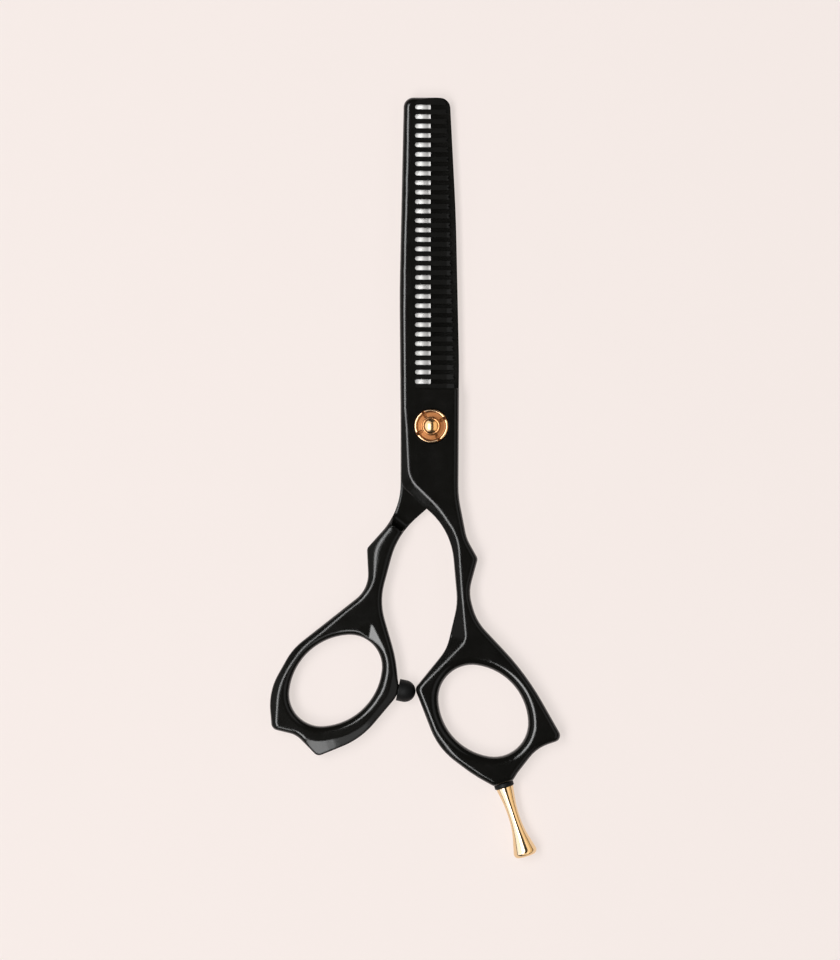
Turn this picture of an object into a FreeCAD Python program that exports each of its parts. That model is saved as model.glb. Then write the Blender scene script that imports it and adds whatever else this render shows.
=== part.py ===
import FreeCAD, Part
import math
import os

import Sketcher

# Thinning shears, six inch class, lying on their back and closed.
# Millimetres. The pivot axis is Z through the origin, the blade tips point to +Y, the comb half is on top.

Vector = FreeCAD.Vector
Placement = FreeCAD.Placement
Rotation = FreeCAD.Rotation

DIMENSIONS = {
    "full_thickness": 5.6,
    "mid_height": 2.8,
    "blade_gap": 0.06,
    "tip_reach": 73.15,
    "edge_radius": 1.2,
    "finger_ring_radius": 1.9,
    "thumb_ring_radius": 1.5,
    "ring_back_radius": 1.5,
    "bevel_depth": 1.3,
    "bevel_draft": -68.0,
    "web_depth": 0.7,
    "web_draft": -76.0,
    "taper_start": 10.0,
    "taper_drop": 0.9,
    "shoulder_reach": 22.5,
    "shoulder_radius": 2.7,
    "shank_angle": 51.3,
    "tooth_count": 30,
    "tooth_pitch": 2.107,
    "first_slot": 9.9,
    "slot_width": 1.0,
    "slot_root": -3.6,
    "tooth_heel": 8.4,
    "tooth_slope": 11.3,
    "tooth_bevel": 25.0,
    "tooth_bevel_start": 3.5,
    "notch_depth": 0.35,
    "notch_width": 0.55,
    "cutting_edge": -3.85,
    "edge_heel": 8.8,
    "flank_heel": 7.0,
    "flank_start": 0.5,
    "flank_slope": 19.8,
    "edge_bevel": 40.0,
    "edge_land": 0.05,
    "grind_radius": 80.0,
    "comb_grind_centre": -1.2,
    "comb_grind_depth": 0.12,
    "plain_grind_centre": 2.7,
    "plain_grind_depth": 0.05,
    "head_diameter": 8.0,
    "head_height": 1.0,
    "key_diameter": 5.0,
    "key_width": 4.2,
    "shank_diameter": 4.0,
    "stud_diameter": 2.8,
    "seat_clearance": 0.02,
    "running_clearance": 0.05,
    "bush_diameter": 5.4,
    "bush_flange_diameter": 6.8,
    "bush_flange_height": 0.3,
    "dial_recess_diameter": 8.0,
    "dial_recess_depth": 1.4,
    "thrust_height": 0.3,
    "thrust_diameter": 7.4,
    "spring_room": 0.42,
    "spring_diameter": 7.2,
    "spring_crown": 0.18,
    "spring_sheet": 0.2,
    "small_break": 0.08,
    "edge_break": 0.15,
    "dial_break": 0.12,
    "pin_shoulder_drop": 0.25,
    "pin_crown_drop": 0.18,
    "pin_dome": 0.42,
    "key_length": 1.57,
    "dial_diameter": 7.5,
    "dial_height": 1.28,
    "dial_rim_width": 0.55,
    "dial_hub_diameter": 3.3,
    "dial_dish": 0.35,
    "dial_notch_width": 0.6,
    "dial_notch_count": 4,
    "dial_notch_turn": 30.0,
    "spacer_diameter": 9.0,
    "spacer_height": 0.25,
    "spacer_recess": 0.2,
    "bumper_diameter": 4.9,
    "bumper_length": 3.95,
    "bumper_clearance": 0.1,
    "bumper_stem": 2.4,
    "bumper_stem_length": 2.2,
    "rest_length": 17.0,
    "rest_flare_diameter": 5.9,
    "rest_rim_radius": 1.1,
    "rest_shoulder_diameter": 3.9,
    "rest_waist_diameter": 2.46,
    "rest_waist_start": 5.5,
    "rest_waist_end": 10.3,
    "rest_stud": 2.4,
    "rest_stud_length": 3.5,
    "collar_diameter": 4.4,
    "collar_height": 0.9,
}

# Plan outlines: corner points (x, y, corner radius), rounded by tangent arcs.
FINGER_HALF = [
    (6.05, -15.5, 22.0), (7.9, -25.0, 9.0), (10.4, -29.5, 1.4), (8.35, -37.0, 9.0), (10.1, -43.4, 12.0),
    (21.2, -55.2, 60.0), (29.4, -69.7, 1.5), (23.6, -71.6, 9.0), (19.3, -77.1, 6.0), (18.15, -78.95, 1.4),
    (14.05, -80.25, 1.4), (9.4, -77.7, 40.0), (1.5, -71.7, 16.0), (-3.65, -58.4, 1.5), (3.5, -49.6, 10.0),
    (5.85, -39.5, 16.0), (4.4, -23.4, 16.0), (-6.7, -13.2, 3.2), (-7.05, 30.0, 300.0), (-6.1, 73.15, 2.2),
    (3.42, 73.15, 2.4), (6.2, 9.5, 80.0),
]
THUMB_HALF = [
    (-6.8, -18.8, 16.0), (-14.3, -27.2, 1.4), (-13.9, -36.2, 7.0), (-30.9, -49.6, 14.0), (-36.2, -59.0, 14.0),
    (-35.5, -67.4, 1.6), (-30.1, -68.7, 5.0), (-25.3, -73.5, 1.4), (-15.6, -69.6, 18.0), (-7.1, -59.5, 5.0),
    (-7.9, -51.5, 30.0), (-11.5, -39.1, 15.0), (-7.5, -24.2, 18.0), (5.95, -12.2, 3.2), (6.2, 14.0, 200.0),
    (5.5, 47.0, 400.0), (4.15, 73.15, 2.4), (-6.8, 73.15, 2.2),
]
# Front bevels: the crease that bounds the flat of each face, closed by a sweep outside the outline.
FINGER_BEVEL = [
    (-9.5, 40.0, 0.0), (-6.9, 16.0, 80.0), (-5.5, 0.0, 60.0), (-5.0, -11.6, 6.0), (1.6, -18.0, 20.0),
    (6.0, -24.6, 12.0), (6.75, -36.0, 40.0), (7.8, -47.9, 3.5), (-2.6, -58.4, 1.5), (0.4, -67.0, 20.0),
    (5.0, -73.2, 14.0), (13.6, -79.2, 0.0), (18.0, -82.5, 0.0), (18.0, -95.0, 0.0), (-20.0, -95.0, 0.0),
    (-20.0, 40.0, 0.0),
]
THUMB_BEVEL = [
    (-3.0, -13.0, 0.0), (-12.3, -27.4, 6.0), (-12.8, -36.2, 8.0), (-28.4, -49.4, 18.0), (-34.0, -57.2, 14.0),
    (-34.6, -67.0, 2.0), (-25.6, -70.3, 8.0), (-16.6, -68.6, 14.0), (-9.4, -59.6, 5.0), (-7.5, -50.0, 0.0),
    (0.0, -50.0, 0.0), (0.0, -90.0, 0.0), (-50.0, -90.0, 0.0), (-50.0, -10.0, 0.0), (-10.0, -10.0, 0.0),
]
# Facet that leads from the thumb shank into its hole; it ends inside the hole.
THUMB_WEB = [
    (-15.4, -44.5, 0.0), (-13.4, -43.7, 0.6), (-10.3, -49.8, 0.0), (-14.0, -56.0, 0.0), (-20.0, -54.0, 0.0),
]
# Finger holes: centre x, centre y, long half axis, short half axis, turn of the long axis in degrees.
FINGER_HOLE = (11.59, -63.40, 11.19, 8.83, -47.8)
THUMB_HOLE = (-21.3, -56.65, 11.55, 8.75, 43.7)
# Radius of an oval's end arcs against that of the true ellipse.
OVAL_END = 1.08
# Radii that sweep the finger rest from its shoulder into its waist, and from there out into its flare.
REST_WAIST_RADII = (25.0, 20.0)
# How far a cut runs past the face or edge that it leaves through.
OVERCUT = 3.0
# Line of the tooth tips, heel end and blade-tip end.
TOOTH_TIPS = [(5.15, 8.4), (3.35, 73.15)]
# Seats of the two screwed or pressed parts: x, y and the direction they point in, degrees.
REST_SEAT = (16.1, -79.6, -72.41)
BUMPER_SEAT = (-7.4, -58.7, -11.5)

doc = FreeCAD.newDocument("thinning_shears")
sheet = doc.addObject("Spreadsheet::Sheet", "Dimensions")
for row, (alias, value) in enumerate(DIMENSIONS.items(), start=1):
    sheet.set(f"A{row}", alias)
    sheet.set(f"B{row}", str(value))
    sheet.setAlias(f"B{row}", alias)
doc.recompute()


def size(alias):
    return float(getattr(sheet, alias))


def bind(feature, target, formula):
    """Tie a property to spreadsheet cells; names in braces become cell references."""
    for alias in sorted(DIMENSIONS, key=len, reverse=True):
        formula = formula.replace("{" + alias + "}", "Dimensions." + alias)
    feature.setExpression(target, formula)


def new_body(label):
    body = doc.addObject("PartDesign::Body", label)
    body.Label = label
    return body


def origin_feature(body, role):
    return next(feature for feature in body.Origin.OriginFeatures if feature.Role == role)


def new_sketch(body, name, plane="XY_Plane", offset=None):
    sketch = body.newObject("Sketcher::SketchObject", name)
    sketch.AttachmentSupport = [(origin_feature(body, plane), "")]
    sketch.MapMode = "FlatFace"
    if offset is not None:
        sketch.AttachmentOffset = offset
    return sketch


def add_polygon(sketch, points):
    """Closed loop of straight lines through the points."""
    count = len(points)
    first = sketch.GeometryCount
    for index, point in enumerate(points):
        following = points[(index + 1) % count]
        sketch.addGeometry(Part.LineSegment(Vector(*point, 0), Vector(*following, 0)), False)
    for index in range(count):
        ends = (first + index, 2, first + (index + 1) % count, 1)
        sketch.addConstraint(Sketcher.Constraint("Coincident", *ends))


def add_rounded_outline(sketch, corners):
    """Closed loop of straight lines and tangent arcs round the corner points; radius 0 keeps a corner sharp."""
    count = len(corners)
    arcs = []
    for index, (x, y, radius) in enumerate(corners):
        corner = Vector(x, y, 0)
        before = corners[index - 1]
        after = corners[(index + 1) % count]
        back = (Vector(before[0], before[1], 0) - corner).normalize()
        ahead = (Vector(after[0], after[1], 0) - corner).normalize()
        half_angle = back.getAngle(ahead) / 2
        reach = radius / math.tan(half_angle)
        middle = corner + (back + ahead).normalize() * (radius / math.sin(half_angle) - radius)
        arcs.append((corner + back * reach, middle, corner + ahead * reach))
    for index, (start, middle, end) in enumerate(arcs):
        if start != end:
            sketch.addGeometry(Part.Arc(start, middle, end), False)
        sketch.addGeometry(Part.LineSegment(end, arcs[(index + 1) % count][0]), False)


def add_chain(sketch, points):
    """Open run of straight lines through the points."""
    for point, following in zip(points, points[1:]):
        sketch.addGeometry(Part.LineSegment(Vector(*point, 0), Vector(*following, 0)), False)


def add_cap(sketch, start, end):
    """Arc from a rim point to a point on an axis, centred on that axis, so that it turns into a round cap."""
    rim = Vector(*start, 0)
    pole = Vector(*end, 0)
    centre_line = Vector(1, 0, 0) if abs(pole.y) < 1e-9 else Vector(0, 1, 0)
    rise = (pole - rim).dot(centre_line)
    width = math.sqrt((pole - rim).Length ** 2 - rise ** 2)
    ball = (width ** 2 + rise ** 2) / (2 * rise)
    centre = pole - centre_line * ball
    middle = centre + ((rim - centre).normalize() + centre_line).normalize() * ball
    sketch.addGeometry(Part.Arc(rim, middle, pole), False)


def add_oval(sketch, oval):
    """Four tangent arcs: two round the ends and two flatter ones along the sides."""
    x, y, long_axis, short_axis, turn = oval
    end_radius = OVAL_END * short_axis ** 2 / long_axis
    end_centre = long_axis - end_radius
    side_radius = (end_centre ** 2 + short_axis ** 2 - end_radius ** 2) / (2 * (short_axis - end_radius))
    angle = math.atan2(side_radius - short_axis, end_centre)
    joint = (end_centre + end_radius * math.cos(angle), end_radius * math.sin(angle))
    ring = [joint, (0, short_axis), (-joint[0], joint[1]), (-long_axis, 0), (-joint[0], -joint[1]),
            (0, -short_axis), (joint[0], -joint[1]), (long_axis, 0), joint]
    placed = Placement(Vector(x, y, 0), Rotation(Vector(0, 0, 1), turn))
    places = [placed.multVec(Vector(*point, 0)) for point in ring]
    for start, middle, end in zip(places[0::2], places[1::2], places[2::2]):
        sketch.addGeometry(Part.Arc(start, middle, end), False)


def add_circle(sketch, name, diameter_formula, diameter, centre=(0.0, 0.0)):
    """Circle held at its centre, with a named diameter tied to the spreadsheet."""
    index = sketch.addGeometry(Part.Circle(Vector(*centre, 0), Vector(0, 0, 1), diameter / 2), False)
    if centre == (0.0, 0.0):
        sketch.addConstraint(Sketcher.Constraint("Coincident", index, 3, -1, 1))
    number = sketch.addConstraint(Sketcher.Constraint("Diameter", index, diameter))
    sketch.renameConstraint(number, name)
    bind(sketch, f"Constraints.{name}", diameter_formula)


def add_pad(body, sketch, length_formula, name):
    pad = body.newObject("PartDesign::Pad", name)
    pad.Profile = sketch
    bind(pad, "Length", length_formula)
    sketch.Visibility = False
    doc.recompute()
    return pad


def add_pocket(body, sketch, name, length_formula, upward=False, both_ways=False, direction=None, draft=None):
    """Cut against the sketch's normal, along it (upward) or half each way; a draft slopes the walls."""
    base_volume = body.Shape.Volume
    pocket = body.newObject("PartDesign::Pocket", name)
    pocket.Profile = sketch
    pocket.Type = "Length"
    bind(pocket, "Length", length_formula)
    if both_ways:
        pocket.SideType = "Symmetric"
    pocket.Reversed = upward
    if direction is not None:
        pocket.UseCustomVector = True
        pocket.Direction = direction
    if draft is not None:
        bind(pocket, "TaperAngle", draft)
    sketch.Visibility = False
    doc.recompute()
    removed = base_volume - body.Shape.Volume
    print(f"{body.Label}.{name} removed {removed:.3f}")
    if removed <= 1e-6:
        raise RuntimeError(f"{name} removed nothing")
    return pocket


def add_turned(body, sketch, name, kind="PartDesign::Revolution", axis="H_Axis"):
    turned = body.newObject(kind, name)
    turned.Profile = sketch
    turned.ReferenceAxis = (sketch, [axis])
    turned.Angle = 360.0
    sketch.Visibility = False
    doc.recompute()
    return turned


def nearest_edge(shape, point):
    vertex = Part.Vertex(point)
    distances = [edge.distToShape(vertex)[0] for edge in shape.Edges]
    return "Edge" + str(1 + distances.index(min(distances)))


def add_fillet(body, points, radius_formula, name):
    """Round the edges nearest to the points, and every edge that runs on smoothly from them."""
    base = body.Tip
    fillet = body.newObject("PartDesign::Fillet", name)
    fillet.Base = (base, [nearest_edge(base.Shape, point) for point in points])
    bind(fillet, "Radius", radius_formula)
    doc.recompute()
    return fillet


def add_taper(body, name, surface_height, outward):
    """Thin the blade towards its tip by a long arc that leaves the outer face smoothly."""
    run = size("tip_reach") - size("taper_start")
    radius = run ** 2 / (2 * size("taper_drop"))
    sketch = new_sketch(body, name + "_sketch", "YZ_Plane")
    add_arc_region(sketch, size("taper_start"), surface_height, outward, radius)
    add_pocket(body, sketch, name, "{full_thickness} * 10", both_ways=True)


def add_arc_region(sketch, first, surface_height, outward, radius):
    """Region outside the taper arc from the place first along the blade to just past the tip."""
    start = size("taper_start")
    last = size("tip_reach") + OVERCUT

    def surface(place):
        drop = radius - math.sqrt(radius ** 2 - max(place - start, 0.0) ** 2)
        return Vector(place, surface_height - outward * drop, 0)

    outside = surface_height + outward * 2.0
    begin = surface(start)
    end = surface(last)
    corners = [end, Vector(last, outside, 0), Vector(first, outside, 0), Vector(first, begin.y, 0)]
    if first < start:
        corners.append(begin)
    sketch.addGeometry(Part.Arc(begin, surface((start + last) / 2), end), False)
    for point, following in zip(corners, corners[1:]):
        sketch.addGeometry(Part.LineSegment(point, following), False)


def add_slanted_face(body, name, surface_height, outward, heel, start_x, sideways, slope_alias):
    """Cut a face that starts at x = start_x and sinks sideways by the slope, along the taper arc."""
    run = size("tip_reach") - size("taper_start")
    radius = run ** 2 / (2 * size("taper_drop"))
    sketch = new_sketch(body, name + "_sketch", "YZ_Plane", Placement(Vector(0, 0, start_x), Rotation()))
    add_arc_region(sketch, heel, surface_height, outward, radius)
    slope = math.radians(size(slope_alias))
    direction = Vector(sideways * math.cos(slope), 0, -outward * math.sin(slope))
    add_pocket(body, sketch, name, "{full_thickness} * 3", direction=direction)


def add_relief(body, name, inner_height, outward, turn):
    """Cut the blade down to half thickness, up to a hollow shoulder across the shank."""
    turned = Placement(Vector(), Rotation(Vector(0, 1, 0), turn))
    sketch = new_sketch(body, name + "_sketch", "XZ_Plane", turned)
    radius = size("shoulder_radius")
    foot = -size("shoulder_reach")
    away = inner_height + outward * size("full_thickness")
    far = size("tip_reach") * 1.5
    diagonal = radius * math.sqrt(0.5)
    foot_point = Vector(foot, inner_height + outward * radius, 0)
    arc_middle = Vector(foot + radius - diagonal, inner_height + outward * (radius - diagonal), 0)
    face_point = Vector(foot + radius, inner_height, 0)
    sketch.addGeometry(Part.Arc(foot_point, arc_middle, face_point), False)
    corners = [face_point, Vector(far, inner_height, 0), Vector(far, away, 0), Vector(foot, away, 0),
               foot_point]
    for point, following in zip(corners, corners[1:]):
        sketch.addGeometry(Part.LineSegment(point, following), False)
    add_pocket(body, sketch, name, "{tip_reach} * 2", both_ways=True)


def add_grind(body, name, centre_x, depth, inner_height, outward):
    """Hollow-grind the inner face of a blade with a long wheel radius."""
    heel = Placement(Vector(0, 0, -size("tooth_heel")), Rotation())
    sketch = new_sketch(body, name + "_sketch", "XZ_Plane", heel)
    radius = size("grind_radius")
    height = inner_height + outward * (radius - depth)
    add_circle(sketch, "wheel", "{grind_radius} * 2", radius * 2, (centre_x, height))
    add_pocket(body, sketch, name, "{tip_reach}", upward=False)


def add_round_cut(body, name, diameter_formula, diameter, height, length_formula, upward):
    """Round pocket on the pivot axis, from a height, up or down."""
    sketch = new_sketch(body, name + "_sketch", "XY_Plane", Placement(Vector(0, 0, height), Rotation()))
    add_circle(sketch, "bore", diameter_formula, diameter)
    add_pocket(body, sketch, name, length_formula, upward=upward)


def seat_placement(seat):
    x, y, turn = seat
    return Placement(Vector(x, y, size("mid_height")), Rotation(Vector(0, 0, 1), turn))


def build_plan(body, outline, hole):
    """Full-thickness blank of one half with its finger hole."""
    sketch = new_sketch(body, body.Label + "_plan")
    add_rounded_outline(sketch, outline)
    add_oval(sketch, hole)
    add_pad(body, sketch, "{full_thickness}", body.Label + "_blank")


def slope_face(body, name, outline, depth_formula, draft_formula):
    """Cut a sloping surface into the front face, falling away from the outline's edge towards its inside."""
    face = Placement(Vector(0, 0, size("full_thickness")), Rotation())
    sketch = new_sketch(body, name + "_sketch", offset=face)
    add_rounded_outline(sketch, outline)
    add_pocket(body, sketch, name, depth_formula, draft=draft_formula)


def round_edges(body, outline_point, hole, front_radius):
    """Round the outline on both faces, and the finger hole more in front than behind."""
    top = size("full_thickness")
    turn = math.radians(hole[4])
    hole_point = (hole[0] + hole[2] * math.cos(turn), hole[1] + hole[2] * math.sin(turn))
    outline_points = [Vector(*outline_point, 0), Vector(*outline_point, top)]
    add_fillet(body, outline_points, "{edge_radius}", body.Label + "_edges")
    add_fillet(body, [Vector(*hole_point, top)], front_radius, body.Label + "_ring_front")
    add_fillet(body, [Vector(*hole_point, 0)], "{ring_back_radius}", body.Label + "_ring_back")


def build_comb_blade():
    """Upper half: finger ring, shank and the toothed comb blade."""
    body = new_body("comb_blade")
    top = size("full_thickness")
    inner = size("mid_height") + size("blade_gap") / 2
    build_plan(body, FINGER_HALF, FINGER_HOLE)
    add_taper(body, "comb_taper", top, 1)
    round_edges(body, (21.0, -56.0), FINGER_HOLE, "{finger_ring_radius}")
    slope_face(body, "comb_bevel", FINGER_BEVEL, "{bevel_depth}", "{bevel_draft}")
    add_relief(body, "comb_relief", inner, -1, 180.0 - size("shank_angle"))
    cut_teeth(body, top)
    add_grind(body, "comb_grind", size("comb_grind_centre"), size("comb_grind_depth"), inner, -1)
    clearance = 2 * size("seat_clearance")
    add_round_cut(body, "bush_bore", "{bush_diameter} + 2 * {seat_clearance}",
                  size("bush_diameter") + clearance, 0.0, "{full_thickness} * 2", True)
    add_round_cut(body, "dial_recess", "{dial_recess_diameter}", size("dial_recess_diameter"),
                  top, "{dial_recess_depth}", False)
    cut_socket(body, "rest_socket", REST_SEAT, size("rest_stud") / 2, size("rest_stud_length"))
    return body


def cut_teeth(body, top):
    """Tip line, sloping tooth faces, a row of slots and a small notch in every tooth tip."""
    (heel_x, heel_y), (tip_x, tip_y) = TOOTH_TIPS
    lean = (tip_x - heel_x) / (tip_y - heel_y)
    far_x = heel_x + OVERCUT
    far_y = tip_y + OVERCUT
    sketch = new_sketch(body, "tooth_tips_sketch")
    end_x = heel_x + lean * (far_y - heel_y)
    add_polygon(sketch, [(heel_x, heel_y), (far_x, heel_y), (far_x, far_y), (end_x, far_y)])
    add_pocket(body, sketch, "tooth_tips", "{full_thickness} * 3", both_ways=True)
    add_slanted_face(body, "tooth_face", top, 1, size("tooth_heel"), size("slot_root"), 1, "tooth_slope")
    fall = (size("tooth_bevel_start") - size("slot_root")) * math.tan(math.radians(size("tooth_slope")))
    add_slanted_face(body, "tooth_tip_face", top - fall, 1, size("tooth_heel"), size("tooth_bevel_start"), 1,
                     "tooth_bevel")
    cut_slots(body)
    sketch = new_sketch(body, "tooth_notch_sketch")
    half = size("notch_width")
    for number in range(int(size("tooth_count"))):
        y = size("first_slot") + (number + 0.5) * size("tooth_pitch")
        tip = heel_x + lean * (y - heel_y)
        mouth = tip + size("notch_depth")
        add_polygon(sketch, [(tip - size("notch_depth"), y), (mouth, y - half), (mouth, y + half)])
    add_pocket(body, sketch, "tooth_notches", "{full_thickness} * 3", both_ways=True)


def cut_slots(body):
    """One slot between teeth with a round root, repeated along the blade."""
    sketch = new_sketch(body, "slot_sketch")
    y = size("first_slot")
    half = size("slot_width") / 2
    root = size("slot_root")
    far = TOOTH_TIPS[0][0] + OVERCUT
    corners = [Vector(root + half, y - half, 0), Vector(far, y - half, 0), Vector(far, y + half, 0),
               Vector(root + half, y + half, 0)]
    sketch.addGeometry(Part.Arc(corners[3], Vector(root, y, 0), corners[0]))
    for point, following in zip(corners, corners[1:]):
        sketch.addGeometry(Part.LineSegment(point, following))
    slot = add_pocket(body, sketch, "slot", "{full_thickness} * 3", both_ways=True)
    pattern = body.newObject("PartDesign::LinearPattern", "slot_row")
    pattern.Originals = [slot]
    pattern.Direction = (sketch, ["V_Axis"])
    bind(pattern, "Length", "{tooth_pitch} * ({tooth_count} - 1)")
    bind(pattern, "Occurrences", "{tooth_count}")
    body.Tip = pattern
    doc.recompute()


def cut_socket(body, name, seat, radius, depth):
    """Round socket that runs in from a seat on the outline, about its own axis."""
    sketch = new_sketch(body, name + "_sketch", "XY_Plane", seat_placement(seat))
    add_polygon(sketch, [(-depth, 0.0), (OVERCUT, 0.0), (OVERCUT, radius), (-depth, radius)])
    before = body.Shape.Volume
    add_turned(body, sketch, name, "PartDesign::Groove")
    print(f"{body.Label}.{name} removed {before - body.Shape.Volume:.3f}")


def build_plain_blade():
    """Lower half: thumb ring, shank and the plain cutting blade."""
    body = new_body("plain_blade")
    inner = size("mid_height") - size("blade_gap") / 2
    build_plan(body, THUMB_HALF, THUMB_HOLE)
    add_taper(body, "plain_taper", 0.0, -1)
    round_edges(body, (-36.0, -60.0), THUMB_HOLE, "{thumb_ring_radius}")
    slope_face(body, "plain_bevel", THUMB_BEVEL, "{bevel_depth}", "{bevel_draft}")
    slope_face(body, "thumb_web", THUMB_WEB, "{web_depth}", "{web_draft}")
    add_relief(body, "plain_relief", inner, 1, size("shank_angle"))
    cut_edge(body, inner)
    add_grind(body, "plain_grind", size("plain_grind_centre"), size("plain_grind_depth"), inner, 1)
    clearance = 2 * size("seat_clearance")
    add_round_cut(body, "head_seat", "{head_diameter} + 2 * {seat_clearance}",
                  size("head_diameter") + clearance, 0.0, "{head_height}", True)
    add_round_cut(body, "spacer_seat", "{spacer_diameter} + 2 * {seat_clearance}",
                  size("spacer_diameter") + clearance, inner, "{spacer_recess}", False)
    sketch = new_sketch(body, "key_hole_sketch")
    add_flatted_circle(sketch, size("key_diameter") + clearance, size("key_width") + clearance)
    add_pocket(body, sketch, "key_hole", "{full_thickness} * 3", both_ways=True)
    cut_socket(body, "bumper_spot", BUMPER_SEAT, size("bumper_diameter") / 2 + size("bumper_clearance"), 0.0)
    cut_socket(body, "bumper_socket", BUMPER_SEAT, size("bumper_stem") / 2, size("bumper_stem_length"))
    return body


def cut_edge(body, inner):
    """Straight cutting edge along the blade, with its slanted outer flank and narrow honed bevel."""
    edge = size("cutting_edge")
    heel = size("edge_heel")
    far_x = edge - 2 * OVERCUT
    far_y = size("tip_reach") + OVERCUT
    sketch = new_sketch(body, "edge_line_sketch")
    add_polygon(sketch, [(edge, heel), (edge, far_y), (far_x, far_y), (far_x, heel - OVERCUT)])
    add_pocket(body, sketch, "edge_line", "{full_thickness} * 3", both_ways=True)
    add_slanted_face(body, "flank", 0.0, -1, size("flank_heel"), size("flank_start"), -1, "flank_slope")
    slope = math.tan(math.radians(size("edge_bevel")))
    land = inner - size("edge_land")
    below = size("mid_height")
    beyond = Placement(Vector(0, 0, -far_y), Rotation())
    sketch = new_sketch(body, "edge_bevel_sketch", "XZ_Plane", beyond)
    add_polygon(sketch, [(edge - OVERCUT, land + OVERCUT / slope), (edge + below * slope, land - below),
                         (edge - OVERCUT, land - below)])
    add_pocket(body, sketch, "edge_bevel", "{tip_reach} - {edge_heel} + " + str(OVERCUT), upward=True)


def add_flatted_circle(sketch, diameter, width):
    """Round shape with two parallel flats along Y."""
    radius = diameter / 2
    half = width / 2
    rise = math.sqrt(radius ** 2 - half ** 2)
    top_left = Vector(-half, rise, 0)
    top_right = Vector(half, rise, 0)
    low_left = Vector(-half, -rise, 0)
    low_right = Vector(half, -rise, 0)
    sketch.addGeometry(Part.Arc(top_left, Vector(0, radius, 0), top_right), False)
    sketch.addGeometry(Part.LineSegment(top_right, low_right), False)
    sketch.addGeometry(Part.Arc(low_right, Vector(0, -radius, 0), low_left), False)
    sketch.addGeometry(Part.LineSegment(low_left, top_left), False)


def turned_part(label, profile, bottom=0.0):
    """Ring or stepped disc turned about the pivot axis; profile points are (radius, height)."""
    body = new_body(label)
    sketch = new_sketch(body, label + "_profile", "XZ_Plane")
    add_polygon(sketch, [(radius, bottom + height) for radius, height in profile])
    add_turned(body, sketch, label + "_turned", axis="V_Axis")
    return body


def ring_profile(inner_radius, outer_radius, height, chamfer=0.0):
    """Plain washer section with its outer corners broken."""
    if chamfer <= 0.0:
        return [(inner_radius, 0), (outer_radius, 0), (outer_radius, height), (inner_radius, height)]
    cut = outer_radius - chamfer
    return [(inner_radius, 0), (cut, 0), (outer_radius, chamfer), (outer_radius, height - chamfer),
            (cut, height), (inner_radius, height)]


def build_pivot_stack():
    """Pin, spacer, bush, washers and tension dial on the pivot axis."""
    inner = size("mid_height") - size("blade_gap") / 2
    spacer_floor = inner - size("spacer_recess")
    shank = size("shank_diameter") / 2
    loose = shank + size("running_clearance")
    bush_seat = size("full_thickness") - size("dial_recess_depth")
    flange_top = bush_seat + size("bush_flange_height")
    thrust_top = flange_top + size("thrust_height")
    dial_floor = thrust_top + size("spring_room")
    bodies = [build_pin(spacer_floor, dial_floor)]
    bodies.append(turned_part("blade_washer", ring_profile(loose, size("spacer_diameter") / 2,
                                                           size("spacer_height")), spacer_floor))
    bush_foot = size("mid_height") + size("blade_gap") / 2 + size("seat_clearance") / 2
    bush = size("bush_diameter") / 2
    flange = size("bush_flange_diameter") / 2
    profile = [(loose, bush_foot), (bush, bush_foot), (bush, bush_seat), (flange, bush_seat),
               (flange, flange_top), (loose, flange_top)]
    bodies.append(turned_part("bearing_bush", profile))
    thrust = ring_profile(loose, size("thrust_diameter") / 2, size("thrust_height"), size("small_break"))
    bodies.append(turned_part("thrust_washer", thrust, flange_top))
    spring_bore = loose + size("small_break")
    spring_rim = size("spring_diameter") / 2
    crown = size("spring_crown")
    thickness = size("spring_sheet")
    spring = [(spring_bore, crown), (spring_rim, 0.0), (spring_rim, thickness),
              (spring_bore, crown + thickness)]
    bodies.append(turned_part("spring_washer", spring, thrust_top + size("seat_clearance")))
    bodies.append(build_dial(dial_floor))
    return bodies


def build_pin(key_top, dial_floor):
    """Pivot pin: flat back head, keyed seat, bearing shank, threaded end with a domed tip."""
    body = new_body("pivot_pin")
    head = size("head_diameter") / 2
    key = size("key_diameter") / 2
    shank = size("shank_diameter") / 2
    stud = size("stud_diameter") / 2
    head_top = size("head_height")
    edge_break = size("edge_break")
    shoulder = dial_floor - size("pin_shoulder_drop")
    crown = dial_floor + size("dial_height") - size("pin_crown_drop")
    sketch = new_sketch(body, "pin_profile", "XZ_Plane")
    points = [(0, 0), (head - edge_break, 0), (head, edge_break), (head, head_top), (key, head_top),
              (key, key_top), (shank, key_top), (shank, shoulder), (stud, shoulder), (stud, crown)]
    pole = (0, crown + size("pin_dome"))
    add_chain(sketch, [pole] + points)
    add_cap(sketch, points[-1], pole)
    add_turned(body, sketch, "pin_turned", axis="V_Axis")
    sketch = new_sketch(body, "pin_flats_sketch", "XY_Plane", Placement(Vector(0, 0, head_top), Rotation()))
    flat = size("key_width") / 2
    for side in (-1, 1):
        far = side * OVERCUT
        add_polygon(sketch, [(side * flat, -far), (far, -far), (far, far), (side * flat, far)])
    add_pocket(body, sketch, "pin_flats", "{key_length}", upward=True)
    return body


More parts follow.
